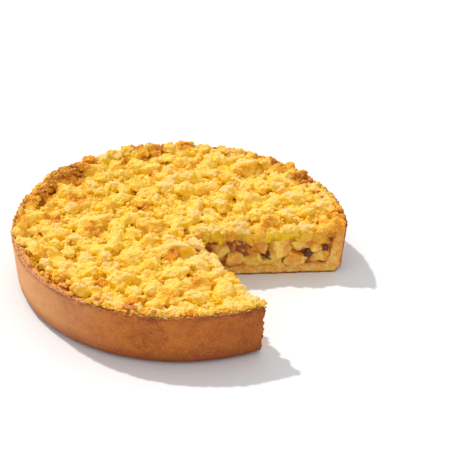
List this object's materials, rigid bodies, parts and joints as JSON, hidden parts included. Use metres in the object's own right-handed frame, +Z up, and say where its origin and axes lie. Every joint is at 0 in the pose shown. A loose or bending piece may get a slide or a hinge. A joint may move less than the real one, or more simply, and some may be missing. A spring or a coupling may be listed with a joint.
{
  "type": "apple crumble pie",
  "caption": "Round tapered shortcrust pie with an apple layer under a lumpy crumble top; one wedge is cut out, so the layers show at its two cut faces.",
  "frame": {"origin": "on the table, under the middle of the round pie", "axes": "+Z up through the pie; the gap of the missing slice opens towards +X and -Y"},
  "size_m": [0.2594, 0.2599, 0.0486],
  "materials": {
    "baked_pastry": "dry, sandy shortcrust, golden brown outside and darker at the rim",
    "cooked_apple": "moist soft apple pieces, pale yellow with brown edges",
    "butter_crumble": "dry buttery crumbs, yellow with toasted golden tips"
  },
  "bodies": {
    "root": {"crust": "baked_pastry", "apple_filling": "cooked_apple", "crumble": "butter_crumble"}
  },
  "joints": []
}
